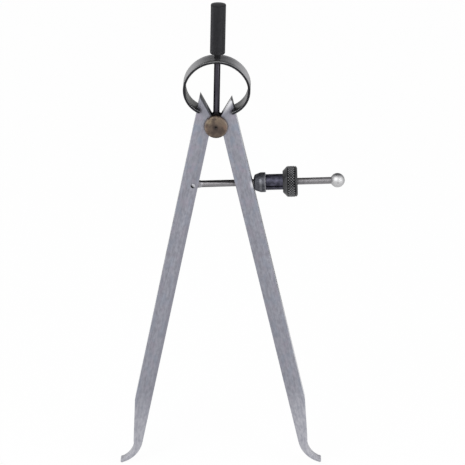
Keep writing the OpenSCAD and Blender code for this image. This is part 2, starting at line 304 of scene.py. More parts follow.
def editAll():
    bpy.ops.object.mode_set(mode="EDIT")
    bpy.ops.mesh.select_all(action="SELECT")


def leaveEdit():
    bpy.ops.object.mode_set(mode="OBJECT")


# selects vertices, edges or faces whose corners pass a test, and stays in edit mode
def pick(piece, kind, test):
    bpy.ops.object.mode_set(mode="EDIT")
    bpy.ops.mesh.select_mode(type=kind)
    bpy.ops.mesh.select_all(action="DESELECT")
    leaveEdit()
    mesh = piece.data
    items = {"VERT": mesh.vertices, "EDGE": mesh.edges, "FACE": mesh.polygons}[kind]
    for item in items:
        corners = [item.index] if kind == "VERT" else item.vertices
        item.select = test([mesh.vertices[corner].co for corner in corners])
    bpy.ops.object.mode_set(mode="EDIT")


def atHeight(height):
    return lambda corners: all(abs(corner.z - height) < bench["samePlane"] for corner in corners)


def quarterTurns(steps):
    return [math.pi / 2 * step / steps for step in range(steps + 1)]


# an open cylinder around the Z axis, between two heights
def openCylinder(name, sides, radius, low, high):
    deselect()
    bpy.ops.mesh.primitive_cylinder_add(
        vertices=sides, radius=radius, depth=high - low,
        end_fill_type="NOTHING", location=(0, 0, (high + low) / 2),
    )
    made = named(name)
    applyPlace()
    return made


# extrudes the picked ring through a list of radii and heights on the Z axis
def growRing(rings):
    radius, height = rings[0]
    for newRadius, newHeight in rings[1:]:
        share = newRadius / radius
        bpy.ops.mesh.extrude_edges_move()
        bpy.ops.transform.resize(value=(share, share, 1), center_override=(0, 0, height))
        bpy.ops.transform.translate(value=(0, 0, newHeight - height))
        radius, height = newRadius, newHeight


# merges doubled points, turns the faces outwards and leaves edit mode
def closeMesh():
    bpy.ops.mesh.select_all(action="SELECT")
    bpy.ops.mesh.remove_doubles(threshold=bench["merge"])
    bpy.ops.mesh.normals_make_consistent(inside=False)
    leaveEdit()


def easeEdges(piece, width, segments):
    bevel = piece.modifiers.new("easedEdges", "BEVEL")
    bevel.width = width
    bevel.segments = segments
    bevel.limit_method = "ANGLE"
    bevel.angle_limit = bench["sharpAngle"]
    bpy.ops.object.modifier_apply(modifier=bevel.name)


# a copy of a CAD node with its edges eased
def easedCopy(nodeName, pieceName, width, segments=2):
    piece = bpy.data.objects.new(pieceName, frame["nodes"][nodeName].data.copy())
    bpy.context.collection.objects.link(piece)
    takeUp(piece)
    bpy.ops.mesh.customdata_custom_splitnormals_clear()
    editAll()
    bpy.ops.mesh.remove_doubles(threshold=bench["merge"])
    bpy.ops.mesh.dissolve_limited(angle_limit=bench["flatAngle"])
    leaveEdit()
    easeEdges(piece, width, segments)
    return piece


# gives a finished piece its shading and its material, and hides the CAD node that it stands for
def settle(piece, nodeName, material):
    takeUp(piece)
    bpy.ops.object.shade_smooth_by_angle(angle=bench["smoothAngle"])
    piece.data.materials.clear()
    piece.data.materials.append(material)
    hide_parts(nodeName)


def settleAndRide(piece, nodeName, material):
    settle(piece, nodeName, material)
    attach(piece, bodyOf[nodeName])


# diamond knurl on an open cylinder: its grid is poked, the grid's edges go, and each diamond is raised
def knurlSide(piece, low, high, rows, width, depth):
    def rounded(point):
        return tuple(round(value, bench["digits"]) for value in point)

    def gridEdge(corners):
        known = all(rounded(corner) in onGrid for corner in corners)
        return known and not atHeight(low)(corners) and not atHeight(high)(corners)

    pick(piece, "EDGE", lambda corners: abs(corners[0].z - corners[1].z) > bench["merge"])
    bpy.ops.mesh.subdivide(number_cuts=rows - 1)
    leaveEdit()
    onGrid = {rounded(vertex.co) for vertex in piece.data.vertices}
    editAll()
    bpy.ops.mesh.poke()
    pick(piece, "EDGE", gridEdge)
    bpy.ops.mesh.dissolve_edges(use_verts=False)
    pick(piece, "FACE", lambda corners: len(corners) == 4)
    bpy.ops.mesh.inset(thickness=width, depth=depth, use_individual=True)


# where a node lies along the screw, measured from the pin: its near end, far end and radius
def alongScrew(nodeName):
    spots = [vertex.co - pinPoint for vertex in frame["nodes"][nodeName].data.vertices]
    places = [spot.dot(screwLine) for spot in spots]
    return min(places), max(places), max((s - screwLine * p).length for s, p in zip(spots, places))


# moves a piece that was made on the Z axis onto the screw, with its zero at the pin
def layOnScrew(piece):
    takeUp(piece)
    turn = screwLine.to_track_quat("Z", "Y").to_matrix().to_4x4()
    piece.matrix_world = Matrix.Translation(pinPoint) @ turn
    applyPlace()


# each leg's angle to the middle of the pair, and the pair's lean to the right, in degrees
stance = {"angle": 12.27, "lean": 1.8}


# a leg's angle to the handle's axis, where side is -1 for the left leg and 1 for the right leg
def legTilt(side):
    return math.radians(stance["angle"] + side * stance["lean"])


# the ways that a leg points: away from the middle, and down
def legWays(side):
    tilt = legTilt(side)
    outwards = Vector((side * math.cos(tilt), 0, math.sin(tilt)))
    down = Vector((side * math.sin(tilt), 0, -math.cos(tilt)))
    return outwards, down


# bow: a flat spring strip in two halves, each spun along its top arc and side arc, then forked over its leg
bow = {
    "rise": 0.0157,
    "sideRadius": 0.0104,
    "thick": 0.00095,
    "fork": 0.00444,
    "forkRoot": 0.00813,
    "prongTip": 0.0075,
    "easedEdge": 0.00032,
    "easedSteps": 3,
    "steps": 40,
    "prongSteps": 4,
    "onForkCut": 1e-8,
    "byForkSide": 1e-5,
    "lines": {"scale": (60, 2600, 60), "detail": 3, "rough": 0.6},
    "stains": {"scale": 300, "detail": 3},
    "lineShare": 0.7,
    "grainLimits": (0.34, 0.66),
    "insideLimits": (-0.002, 0.002),
    "leftToRight": (-0.004, 0.004),
    "endShadeLimits": (0.0038, 0.0082),
    "cornerFacing": (0.3, 0.45),
    "glintFacing": (0.12, 0.3),
    "neckLimits": (0.002, 0.0045),
    "rough": 0.32,
    "roughSpread": 0.14,
    "bump": (0.3, 0.00003),
    "light": paint(168, 168, 171),
    "deep": paint(120, 120, 123),
    # painted shade inside the loop: darker on the left, lighter on the right, and black towards the ends by
    # the legs
    "innerShadeLeft": paint(52, 52, 50),
    "innerShadeRight": paint(100, 100, 101),
    "end": paint(18, 18, 19),
    # painted shade on the edge faces and their downward-facing bevels
    "front": paint(46, 46, 49),
    # painted highlights on the edges' upward-facing bevels, brighter by the neck
    "neckGlint": paint(186, 186, 188),
    "glint": paint(140, 140, 142),
}


# one half of the oval: its arcs' centres and radii, and the angles where it forks and ends
def bowHalf(side):
    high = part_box("bow_spring")[1]
    tilt = legTilt(side)
    halfHigh = high.z - studPoint.z - bow["rise"]
    sideOut = high.x - bow["sideRadius"]
    reach = sideOut ** 2 + halfHigh ** 2 - bow["sideRadius"] ** 2
    topRadius = reach / (2 * (halfHigh - bow["sideRadius"]))
    centre = studPoint + Vector((0, 0, bow["rise"]))
    middle = bow["sideRadius"] - bow["thick"] / 2
    away = sideOut * math.cos(tilt) + bow["rise"] * math.sin(tilt)
    half = {
        "start": Vector((0, 0, high.z - bow["thick"] / 2)),
        "topCentre": centre - Vector((0, 0, topRadius - halfHigh)),
        "sideCentre": centre + Vector((side * sideOut, 0, 0)),
        "joinTurn": math.atan2(topRadius - halfHigh, sideOut),
        "forkTurn": tilt - math.acos((bow["forkRoot"] - away) / middle),
        "tipTurn": tilt - math.acos((bow["prongTip"] - away) / middle),
    }
    for name in ("fork", "tip"):
        turn = half[name + "Turn"]
        half[name] = half["sideCentre"] + Vector((side * math.cos(turn), 0, math.sin(turn))) * middle
    return half


# satin steel, with painted shade inside the loop, darker on the left and black towards the ends, painted
# shade on its front and back edge faces, and a painted highlight along their upward-facing bevels, brightest
# by the neck
def makeBowSteel():
    steel = Finish("bowSteel")
    spot = steel.offset(studPoint + Vector((0, 0, bow["rise"])))
    x, y, z = steel.parts(spot)
    lines = steel.noise((x, y, z), **bow["lines"])
    stains = steel.noise(spot, **bow["stains"])
    grain = steel.ease(lines * bow["lineShare"] + stains * (1 - bow["lineShare"]), *bow["grainLimits"])
    normal = steel.normal()
    inside = steel.fade(steel.dot(normal, steel.vector(x, 0, z)), *bow["insideLimits"])
    # painted shade inside the loop, darker on the left and black towards the ends
    innerShade = steel.mix(steel.ease(x, *bow["leftToRight"]), bow["innerShadeLeft"], bow["innerShadeRight"])
    innerShade = steel.mix(steel.ease(z * -1, *bow["endShadeLimits"]), innerShade, bow["end"])
    face = steel.mix(inside, steel.mix(grain, bow["deep"], bow["light"]), innerShade)
    toFront, upwards = steel.parts(normal)[1:]
    # painted shade on the strip's front and back edge faces and their bevels
    corner = steel.ease(abs(toFront), *bow["cornerFacing"])
    # painted highlight on the upward-facing bevels of the edges, brighter by the neck
    glint = corner * steel.ease(upwards, *bow["glintFacing"])
    bright = steel.mix(steel.ease(abs(x), *bow["neckLimits"]), bow["neckGlint"], bow["glint"])
    colour = steel.mix(glint, steel.mix(corner, face, bow["front"]), bright)
    return steel.surface(bow, colour, grain, lines)


def makeBowHalf(name, side, material):
    low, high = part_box("bow_spring")
    wide = high.y - low.y
    plan = bowHalf(side)
    start, sideCentre, forkPoint = plan["start"], plan["sideCentre"], plan["fork"]
    outToFork = forkPoint - sideCentre

    # the end faces beside the leg's slot, which go on as prongs
    def prongStart(corners):
        onCut = all(
            abs((corner - sideCentre).cross(outToFork).y) < bow["onForkCut"]
            and (corner - forkPoint).dot(outToFork) < bow["byForkSide"]
            for corner in corners
        )
        return onCut and abs(sum(corner.y for corner in corners)) > bow["fork"]

    # the halves meet here, so this end stays square
    def onMiddle(corners):
        return all(abs(corner.x) < bench["samePlane"] for corner in corners)

    deselect()
    bpy.ops.mesh.primitive_plane_add(size=wide, location=start, rotation=(0, math.pi / 2, 0))
    half = named(name)
    applyPlace()
    editAll()
    bpy.ops.transform.resize(value=(1, 1, bow["thick"] / wide), center_override=start)
    for edge in (-bow["fork"] / 2, bow["fork"] / 2):
        bpy.ops.mesh.select_all(action="SELECT")
        bpy.ops.mesh.bisect(plane_co=(0, edge, 0), plane_no=frontToBack, threshold=bench["samePlane"])
    bpy.ops.mesh.select_all(action="SELECT")
    arcs = [
        (plan["topCentre"], math.pi / 2 - plan["joinTurn"]),
        (sideCentre, plan["joinTurn"] - plan["forkTurn"]),
    ]
    for middlePoint, turn in arcs:
        bpy.ops.mesh.spin(steps=bow["steps"], angle=-side * turn, center=middlePoint, axis=frontToBack)
    leaveEdit()
    pick(half, "FACE", prongStart)
    lastTurn = plan["forkTurn"] - plan["tipTurn"]
    bpy.ops.mesh.spin(steps=bow["prongSteps"], angle=-side * lastTurn, center=sideCentre, axis=frontToBack)
    closeMesh()
    pick(half, "FACE", onMiddle)
    bpy.ops.mesh.delete(type="FACE")
    leaveEdit()
    easeEdges(half, bow["easedEdge"], bow["easedSteps"])
    pick(half, "EDGE", onMiddle)
    bpy.ops.mesh.edge_face_add()
    closeMesh()
    settle(half, "bow_spring", material)
    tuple(start)
    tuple(plan["tip"])
    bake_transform(half)


bowSteel = makeBowSteel()
makeBowHalf("bowLeftHalf", -1, bowSteel)
makeBowHalf("bowRightHalf", 1, bowSteel)
print("bow bent")


# legs: ground flat steel, streaked along the leg, with soft blue and lilac patches and brighter toes;
# painted highlights on the outer sides, the toes' tops and the right horn, a painted reflection of the cup
# beside it, painted shade on the horns' slopes and tips, a painted shadow around the bow's prong tips, and
# lighter edges, partly rubbed and partly painted highlight; a tint is a colour and its share
legs = {
    "easedEdge": 0.00007,
    "outerEdge": 0.00865,
    "streaks": {"scale": (1 / 0.00045, 1 / 0.00045, 1 / 0.005), "detail": 3},
    "mottle": {"scale": (900, 900, 500), "detail": 4, "rough": 0.6},
    "streakShare": 0.4,
    "grainLimits": (0.34, 0.66),
    "light": paint(151, 152, 161),
    "deep": paint(131, 131, 140),
    "blue": paint(134, 142, 156),
    "bluePatches": {"scale": (420, 420, 200), "shift": 3, "low": 0.48, "high": 0.66},
    "lilac": paint(151, 144, 156),
    "lilacPatches": {"scale": (460, 460, 220), "shift": 11, "low": 0.5, "high": 0.68},
    "patchShare": 0.3,
    "nearShare": 0.3,
    "nearStud": (0.012, 0.05),
    "band": (paint(134, 133, 143), 0.5),
    "bandLimits": (0.00285, 0.00335),
    "toe": paint(182, 182, 188),
    "toeDown": {-1: 0.128, 1: 0.124},
    "toeFade": 0.012,
    # painted highlight on the toes' upward-facing faces
    "toeTopHighlight": (paint(172, 172, 179), 0.9),
    "toeFacing": (0.25, 0.6),
    "toeDull": 0.8,
    # lighter side faces and eased edges: partly rubbed edges, partly a painted highlight
    "edge": (paint(160, 160, 166), 0.5),
    "edgeFacing": (0.55, 0.8),
    # painted highlight on the outer side faces, near white
    "outerSideHighlight": (paint(244, 244, 246), 0.9),
    "outerSideEnd": 0.126,
    "outerSideShare": {-1: 0.7, 1: 0.45},
    "outerFacing": (0.5, 0.8),
    "outerDull": 0.3,
    "hornTip": {-1: (0.0115, 39.5), 1: (0.01, 43)},
    "hornStart": (0.0035, 0.0085),
    # painted shade on the horns' slopes, edge lines and tips
    "hornShade": (paint(54, 55, 58), 0.95),
    "slopeFacing": (0.3, 0.6),
    "slopeBack": (-0.0002, 0.0008),
    "hornBand": (0.00045, 0.00075),
    "hornBandShare": 0.85,
    "hornLine": (0.00835, 0.0085),
    "hornLineShare": 0.8,
    "hornBlunt": (0.00051, 0.00119),
    # painted highlight on the right horn's face, just inside its slope
    "hornBright": (paint(226, 226, 229), 0.85),
    "hornShine": (0.00045, 0.00162),
    # painted reflection of the cup on the right leg beside it
    "cupHighlight": (paint(226, 226, 229), 0.7),
    "cupHighlightAlong": (0.0003, 0.002),
    "cupHighlightAcross": (0.00735, 0.00835),
    # painted shadow on the leg around the bow's prong tip
    "prongShadow": (paint(64, 62, 68), 0.75),
    "prongShadowReach": (0.0003, 0.0016),
    "rough": 0.4,
    "roughSpread": 0.12,
    "bump": (0.15, 0.00002),
}


def makeLegSteel(name, side):
    outwards, down = legWays(side)
    steel = Finish(name)
    spot = steel.offset(studPoint)
    across, along, deep = steel.dot(spot, outwards), steel.dot(spot, down), steel.parts(spot)[1]
    places = (across, deep, along)
    streaks = steel.noise(places, **legs["streaks"])
    mottle = steel.noise(places, **legs["mottle"])
    grain = streaks * legs["streakShare"] + mottle * (1 - legs["streakShare"])
    grain = steel.ease(grain, *legs["grainLimits"])
    body = steel.mix(grain, legs["deep"], legs["light"])
    patchShare = legs["patchShare"] + steel.fade(along, *legs["nearStud"]) * legs["nearShare"]
    for colour in ("blue", "lilac"):
        patches = steel.clouds(places, **legs[colour + "Patches"])
        body = steel.mix(patches * patchShare, body, legs[colour])
    if side < 0:
        body = steel.lay(body, steel.fade(across, *legs["bandLimits"]), legs["band"])
    toeDown = legs["toeDown"][side]
    toe = steel.ease(along, toeDown - legs["toeFade"], toeDown + legs["toeFade"])
    body = steel.mix(toe, body, steel.mix(grain, legs["light"], legs["toe"]))

    normal = steel.normal()
    toFront, upwards = steel.parts(normal)[1:]
    # lighter side faces and eased edges: partly rubbed edges, partly a painted highlight
    body = steel.lay(body, steel.fade(abs(toFront), *legs["edgeFacing"]), legs["edge"])
    # painted highlight on the outer side faces above the toe, near white and less metallic
    aboveToe = steel.fade(along, legs["outerSideEnd"], legs["outerSideEnd"] + legs["toeFade"])
    outerSideHighlight = steel.ease(steel.dot(normal, outwards), *legs["outerFacing"])
    outerSideHighlight = outerSideHighlight * aboveToe * legs["outerSideShare"][side]
    body = steel.lay(body, outerSideHighlight, legs["outerSideHighlight"])
    # painted highlight on the toes' upward-facing faces, less metallic
    toeTopHighlight = steel.ease(upwards, *legs["toeFacing"]) * (1 - aboveToe)
    body = steel.lay(body, toeTopHighlight, legs["toeTopHighlight"])

    # painted shade on the horns' upward sloping faces (on the right horn only their back part), in a band
    # along the left horn's slope, in a line along the right horn's outer edge, and at both tips
    onHorn = steel.ease(along * -1, *legs["hornStart"])
    dark = steel.ease(steel.dot(normal, -outwards), *legs["slopeFacing"])
    dark = dark * steel.ease(steel.dot(normal, -down), *legs["slopeFacing"])
    rise, slope = legs["hornTip"][side][0], math.radians(legs["hornTip"][side][1])
    inFromSlope = (across - legs["outerEdge"]) * math.cos(slope) + (along + rise) * math.sin(slope)
    if side > 0:
        # painted highlight on the right horn's face, just inside its slope
        body = steel.lay(body, onHorn * steel.fade(inFromSlope, *legs["hornShine"]), legs["hornBright"])
        # painted reflection of the cup, a light patch on the right leg beside it
        bearing = pinPoint + screwLine * alongScrew("thrust_cup")[0] - studPoint
        cupHighlightMask = steel.fade(abs(along - bearing.dot(down)), *legs["cupHighlightAlong"])
        body = steel.lay(body, cupHighlightMask * steel.ease(across, *legs["cupHighlightAcross"]), legs["cupHighlight"])
        outside = onHorn * steel.ease(across, *legs["hornLine"])
        dark = steel.highest(dark * steel.ease(deep, *legs["slopeBack"]), outside * legs["hornLineShare"])
    else:
        band = steel.fade(inFromSlope, *legs["hornBand"])
        dark = steel.highest(dark, band * legs["hornBandShare"])
    hornEnd = steel.offset(studPoint + outwards * legs["outerEdge"] - down * rise)
    dark = steel.highest(dark, steel.fade(steel.fromLine(hornEnd, frontToBack), *legs["hornBlunt"]))
    # painted shadow on the leg around the bow's prong tip
    prongTip = steel.offset(bowHalf(side)["tip"])
    prongShadow = steel.fade(steel.fromLine(prongTip, frontToBack), *legs["prongShadowReach"])
    body = steel.lay(body, prongShadow, legs["prongShadow"])
    # the painted highlights on the outer sides and the toes' tops are less metallic
    metallic = 1 - outerSideHighlight * legs["outerDull"] - toeTopHighlight * legs["toeDull"]
    return steel.surface(legs, steel.lay(body, dark, legs["hornShade"]), grain, streaks, metallic)


for nodeName, side in (("left_leg", -1), ("right_leg", 1)):
    leg = easedCopy(nodeName, nodeName.split("_")[0] + "LegGround", legs["easedEdge"])
    settleAndRide(leg, nodeName, makeLegSteel(leg.name, side))
print("legs ground")


# fulcrum stud: round-edged turned heads, browned by heat, with fine rings and a dark turning centre, and
# painted light: a painted highlight towards the upper left and at the rim's sides, and painted shade around
# a point below the centre and along the lower rim; the values from rimLimits to shadeLimits are shares of
# the head's radius
stud = {
    "sides": 64,
    "headRadius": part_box("fulcrum_stud")[1].x,
    "barrelRadius": 0.004,
    "headThick": 0.0012,
    "wall": 0.00015,
    "round": 0.0009,
    "roundSteps": 6,
    "crown": 0.00012,
    "crownSteps": (0.75, 0.5, 0.3),
    "centre": 0.00055,
    "centreTip": 0.00011,
    "centreDeep": 0.0004,
    "centreLimits": (0.00022, 0.00132),
    "rings": {"scale": (3000, 0, 0), "detail": 3, "rough": 0.6},
    "wide": {"scale": (900, 1, 0)},
    "wideApart": 3,
    "clouds": {"scale": 330, "detail": 3, "rough": 0.55, "low": 0.4, "high": 0.6},
    "cloudShare": 0.5,
    "wideShare": 0.3,
    "ringShare": 0.2,
    "redPatches": {"scale": 260, "low": 0.5, "high": 0.7},
    "redCentre": (0.003, 0, 0.001),
    "tanLimits": (0.0012, 0.0048),
    "rimLimits": (0.84, 0.97),
    "besideLimits": (0.55, 0.9),
    "lowLimits": (-0.98, -0.72),
    "shadeDown": 0.2,
    "shadeLimits": (0.2, 0.85),
    "light": paint(113, 98, 84),
    "deep": paint(54, 43, 39),
    # painted highlight towards the upper left
    "tan": (paint(126, 113, 93), 0.6),
    "red": (paint(116, 86, 76), 0.5),
    "shade": (paint(54, 43, 39), 0.62),
    # painted highlight on the rim at the head's sides
    "edge": (paint(142, 131, 124), 0.6),
    # painted shade along the head's lower rim
    "rim": (paint(40, 32, 29), 0.9),
    "dark": paint(30, 24, 22),
    "rough": 0.42,
    "roughSpread": 0.15,
    "metallic": 0.5,
    "bump": (0.5, 0.00004),
}


def makeStudBrown():
    head = stud["headRadius"]
    brown = Finish("studBrown")
    spot = brown.offset(studPoint)
    x, z = brown.parts(spot)[::2]
    radius = brown.fromLine(spot, frontToBack)
    rings = brown.noise((radius, 0, 0), **stud["rings"])
    wide = brown.noise((radius, stud["wideApart"], 0), **stud["wide"])
    clouds = brown.clouds(spot, **stud["clouds"])
    heat = clouds * stud["cloudShare"] + wide * stud["wideShare"] + rings * stud["ringShare"]
    tone = brown.mix(heat, stud["deep"], stud["light"])
    tone = brown.lay(tone, brown.clouds(brown.offset(stud["redCentre"]), **stud["redPatches"]), stud["red"])
    # painted highlight towards the upper left, thinned by the clouds
    tone = brown.lay(tone, brown.ease(z - x, *stud["tanLimits"]) * clouds, stud["tan"])
    below = brown.offset(studPoint - Vector((0, 0, head * stud["shadeDown"])))
    shade = brown.fade(brown.fromLine(below, frontToBack), *sharesOf(head, stud["shadeLimits"]))
    tone = brown.lay(tone, shade, stud["shade"])
    # painted highlight on the rim at the head's left and right sides
    rim = brown.ease(radius, *sharesOf(head, stud["rimLimits"]))
    beside = brown.ease(abs(x), *sharesOf(head, stud["besideLimits"]))
    tone = brown.lay(tone, rim * beside, stud["edge"])
    # painted shade along the head's lower rim
    tone = brown.lay(tone, brown.fade(z, *sharesOf(head, stud["lowLimits"])), stud["rim"])
    colour = brown.mix(brown.fade(radius, *stud["centreLimits"]), tone, stud["dark"])
    return brown.surface(stud, colour, clouds, rings, stud["metallic"])


def makeStud():
    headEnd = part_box("fulcrum_stud")[1].y
    barrelEnd = headEnd - stud["headThick"]
    flat = stud["headRadius"] - stud["round"]
    edge = headEnd - stud["crown"]
    drop = edge - barrelEnd - stud["wall"]
    profile = [(stud["barrelRadius"], barrelEnd), (stud["headRadius"], barrelEnd)]
    profile += [
        (flat + stud["round"] * math.cos(turn), edge - drop * (1 - math.sin(turn)))
        for turn in quarterTurns(stud["roundSteps"])
    ]
    profile += [(flat * share, headEnd - stud["crown"] * share ** 2) for share in stud["crownSteps"]]
    profile += [(stud["centre"], headEnd), (stud["centreTip"], headEnd - stud["centreDeep"])]
    spool = openCylinder("studTurned", stud["sides"], stud["barrelRadius"], -barrelEnd, barrelEnd)
    for end in (1, -1):
        pick(spool, "EDGE", atHeight(end * barrelEnd))
        growRing([(radius, end * height) for radius, height in profile])
        bpy.ops.mesh.edge_face_add()
    closeMesh()
    spool.matrix_world = Matrix.Translation(studPoint) @ Matrix.Rotation(math.pi / 2, 4, "X")
    applyPlace()
    settleAndRide(spool, "fulcrum_stud", makeStudBrown())


makeStud()
print("stud turned")


# plain metal, dark or bright, with a fine grain that can be stretched along the piece
plainMetal = {
    "grain": {"detail": 4, "rough": 0.6, "low": 0.35, "high": 0.65},
    "roughSpread": 0.1,
    "bump": (0.15, 0.00002),
}


def makeMetal(name, light, deep, roughness, scale):
    metal = Finish(name)
    places = metal.parts(metal.offset())
    grain = metal.clouds(places, scale=scale, **plainMetal["grain"])
    return metal.set(
        Base_Color=metal.mix(grain, deep, light),
        Roughness=roughness + grain * plainMetal["roughSpread"],
        Metallic=1.0,
        Normal=metal.bump(grain, *plainMetal["bump"]),
    )


# stem: a dark polished rod with drawn lines, on a black flared foot
stem = {
    "easedEdge": 0.0001,
    "rod": makeMetal("stemDark", paint(76, 74, 82), paint(54, 52, 59), 0.3, (2200, 2200, 120)),
    "foot": makeMetal("lockBlack", paint(34, 33, 35), paint(20, 19, 21), 0.4, (1400, 1400, 1400)),
}
settleAndRide(easedCopy("stem", "stemRod", stem["easedEdge"]), "stem", stem["rod"])
settleAndRide(easedCopy("stem_lock_collar", "lockFoot", stem["easedEdge"]), "stem_lock_collar", stem["foot"])
print("stem drawn")


# handle: a blackened finger grip with a fine diamond knurl over a short cone and neck, and painted light on
# its top: lighter, with a painted highlight towards the back and painted shade along the rim; rimLimits are
# measured inwards from its outside, and behindLimits are shares of its radius
handle = {
    "around": 32,
    "rows": 32,
    "knurlDepth": 0.00011,
    "knurlEdge": 0.0001,
    "knurlStep": 0.00002,
    "plainTop": 0.0004,
    "rim": 0.0001,
    "dome": 0.00025,
    "domeSteps": (1, 0.8, 0.6, 0.4, 0.2),
    "cone": 0.0006,
    "coneBend": 0.6,
    "neckRadius": 0.00125,
    "gripLength": 0.0199,
    "clouds": {"scale": 700, "detail": 4, "rough": 0.6, "low": 0.35, "high": 0.65},
    "cloudShare": 0.3,
    "ridgeTop": 0.2,
    "rimLimits": (0.00025, 0.00012),
    "behindLimits": (0.4, 0.9),
    "ridge": paint(66, 66, 69),
    "root": paint(34, 34, 36),
    # painted light on the top: lighter top, painted highlight at its back
    "top": paint(92, 92, 95),
    "topBack": paint(150, 150, 153),
    "rough": 0.42,
    "roughSpread": 0.12,
    "metallic": 0.9,
    "bump": (0.2, 0.00002),
}


def makeHandleBlack():
    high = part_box("handle")[1]
    black = Finish("handleBlack")
    spot = black.offset()
    deep, height = black.parts(spot)[1:]
    radius = black.fromLine(spot, upAxis)
    clouds = black.clouds(spot, **handle["clouds"])
    ridges = black.ridges(radius, high.x, handle["knurlDepth"], handle["ridgeTop"])
    tone = black.mix(black.patchy(ridges, clouds, handle["cloudShare"]), handle["root"], handle["ridge"])
    # painted light on the top: a lighter top, a painted highlight towards its back, and painted shade along
    # its rim except at the back
    top = black.ease(height, high.z - handle["plainTop"], high.z - handle["dome"])
    behind = black.ease(deep, *sharesOf(high.y, handle["behindLimits"]))
    rim = black.ease(radius, *(high.x - inwards for inwards in handle["rimLimits"]))
    crown = black.mix(behind, black.mix(rim, handle["top"], handle["root"]), handle["topBack"])
    return black.surface(handle, black.mix(top, tone, crown), clouds, clouds, handle["metallic"])


def makeHandle():
    low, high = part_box("handle")
    radius, top, foot = high.x, high.z, high.z - handle["gripLength"]
    knurlTop = top - handle["plainTop"]
    inner = radius - handle["knurlDepth"]
    grip = openCylinder("handleKnurled", handle["around"], inner, foot, knurlTop)
    knurlSide(grip, foot, knurlTop, handle["rows"], handle["knurlEdge"], handle["knurlDepth"])
    pick(grip, "EDGE", atHeight(knurlTop))
    dome = [
        (radius * share - handle["rim"], top - handle["dome"] * share ** 2)
        for share in handle["domeSteps"]
    ]
    growRing([
        (inner, knurlTop), (radius, knurlTop + handle["knurlStep"]),
        (radius, top - handle["dome"] - handle["rim"]),
    ] + dome)
    bpy.ops.mesh.edge_face_add()
    pick(grip, "EDGE", atHeight(foot))
    growRing([
        (inner, foot), (radius - handle["rim"], foot - handle["rim"]),
        (handle["neckRadius"] + handle["cone"] / 2, foot - handle["cone"] * handle["coneBend"]),
        (handle["neckRadius"], foot - handle["cone"]), (handle["neckRadius"], low.z),
    ])
    bpy.ops.mesh.edge_face_add()
    closeMesh()
    settleAndRide(grip, "handle", makeHandleBlack())


makeHandle()
print("handle knurled")


# adjusting screw: a fine thread with a flat eye that narrows towards it, painted shade along its top and
# bottom edges, black on top between the legs, and a painted highlight on the eye
screw = {
    "radius": 0.001375,
    "depth": 0.00007,
    "pitch": 0.0005,
    "crest": 0.5,
    "sides": 24,
    "spareTurns": 3,
    "neckEnd": 0.003,
    "easedEdge": 0.0001,
    "eyeTaper": 0.93,
    "eyeOverlap": 0.00005,
    "eyeFade": 0.0012,
    "stains": {"scale": 500, "detail": 3, "rough": 0.6, "low": 0.36, "high": 0.66},
    "stainShare": 0.25,
    "crestTop": 0.15,
    "betweenLegs": (0.018, 0.03),
    "upperSide": Vector((0, 0.35, 0.937)),
    "upperLimits": (0.5, 0.74),
    "upperShare": 0.92,
    "lowerLimits": (0.3, 0.8),
    "lowerShare": 0.1,
    "lowerShareBetween": 0.5,
    "crestColour": paint(140, 138, 140),
    "rootColour": paint(112, 111, 114),
    # painted shade along the screw's top and lower edges
    "edgeShadeColour": paint(44, 43, 44),
    # painted highlight on the eye by the pin
    "eye": (paint(166, 165, 169), 0.9),
    "rough": 0.34,
    "roughSpread": 0.14,
    "bump": (0.1, 0.00002),
}


def makeScrewSteel():
    radius = screw["radius"]
    steel = Finish("screwSteel")
    spot = steel.offset(pinPoint)
    along, away = steel.dot(spot, screwLine), steel.fromLine(spot, screwLine)
    stains = steel.clouds(spot, **screw["stains"])
    crests = steel.ridges(away, radius, screw["depth"], screw["crestTop"])
    crests = steel.patchy(crests, stains, screw["stainShare"])
    tone = steel.mix(crests, screw["rootColour"], screw["crestColour"])
    # painted highlight on the eye by the pin, lightening the shadow of the leg's slot
    eye = steel.fade(along, screw["neckEnd"], screw["neckEnd"] + screw["eyeFade"])
    tone = steel.lay(tone, eye, screw["eye"])
    # painted shade along the top edge between the legs, near black, and along the lower edge, darker between
    # the legs, but not on the eye
    between = steel.fade(along, *screw["betweenLegs"])
    upwards = steel.dot(spot, screw["upperSide"]) * (1 / radius)
    upper = steel.ease(upwards, *screw["upperLimits"]) * between * screw["upperShare"]
    lower = steel.ease(upwards * -1, *screw["lowerLimits"]) * (1 - eye)
    lower = lower * (screw["lowerShare"] + between * screw["lowerShareBetween"])
    return steel.surface(screw, steel.mix(upper + lower, tone, screw["edgeShadeColour"]), stains, stains)


